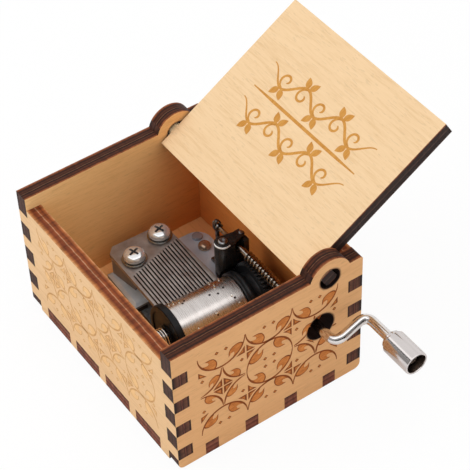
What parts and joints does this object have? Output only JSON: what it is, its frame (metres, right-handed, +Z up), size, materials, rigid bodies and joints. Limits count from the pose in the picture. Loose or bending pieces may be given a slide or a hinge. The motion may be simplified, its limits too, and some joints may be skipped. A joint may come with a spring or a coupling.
{
  "type": "hand crank music box",
  "caption": "Small plywood box with an open hinged lid and a cylinder and comb movement inside, played by turning a bent crank that comes out of one side.",
  "frame": {"origin": "middle of the underside of the case's floor", "axes": "+X towards the crank side along the hinge, +Y from the front wall to the hinge side, +Z up"},
  "size_m": [0.0853, 0.0787, 0.0591],
  "materials": {
    "birch_outer": "bare plywood with laser-burnt edges and engraved scroll lines",
    "birch_floor": "bare plywood",
    "zinc_cast": "as-cast zinc alloy, satin",
    "comb_steel": "ground and tempered, satin grey-brown",
    "drum_steel": "fine turned, bright",
    "nickel_plate": "bright nickel plate",
    "black_plastic": "moulded, satin black",
    "black_steel": "blackened steel",
    "bronze_stud": "dull turned bronze"
  },
  "bodies": {
    "case": {"Floor_Panel": "birch_floor", "Front_Wall": "birch_outer", "Back_Wall": "birch_outer", "Left_Wall": "birch_outer", "Crank_Side_Wall": "birch_outer", "Bedplate": "zinc_cast", "Comb": "comb_steel", "Comb_Washer_1": "nickel_plate", "Comb_Washer_2": "nickel_plate", "Comb_Screw_1": "nickel_plate", "Comb_Screw_2": "nickel_plate", "Arbor_Spring": "nickel_plate", "Shaft_Bracket": "black_plastic", "Bracket_Plate": "black_steel", "Bracket_Rivet": "nickel_plate", "Bracket_Tack": "nickel_plate", "Shaft_End_Bearing": "black_steel", "Deck_Pin": "nickel_plate", "Deck_Stud": "bronze_stud", "Mount_Screw_1": "nickel_plate", "Mount_Screw_2": "nickel_plate"},
    "lid": {"Lid": "birch_outer"},
    "crank": {"Crank_Shaft": "nickel_plate", "Knob_Retainer": "nickel_plate", "Shaft_Clip": "nickel_plate"},
    "cylinder": {"Cylinder_Drum": "drum_steel", "Cylinder_End_Cap": "black_plastic", "Worm_Wheel": "black_plastic", "Cylinder_Arbor": "nickel_plate"},
    "knob": {"Crank_Knob": "nickel_plate"}
  },
  "joints": [
    {"name": "lid_hinge", "type": "hinge", "parent": "case", "child": "lid", "pos_m": [0, 0.01645, 0.03575], "axis": [1, 0, 0], "range_deg": [0, 148.7]},
    {"name": "crank_spin", "type": "hinge", "parent": "case", "child": "crank", "pos_m": [0, 0.0136, 0.0217], "axis": [-1, 0, 0], "continuous": true},
    {"name": "cylinder_spin", "type": "hinge", "parent": "case", "child": "cylinder", "pos_m": [0.0076, 0, 0.01289], "axis": [0.0436, 0.999, 0], "continuous": true},
    {"name": "knob_spin", "type": "hinge", "parent": "crank", "child": "knob", "pos_m": [0.048, 0.0242, 0.0217], "axis": [1, 0, 0], "continuous": true}
  ],
  "couplings": [
    {"joint": "cylinder_spin", "follows": "crank_spin", "ratio": 0.022727}
  ]
}
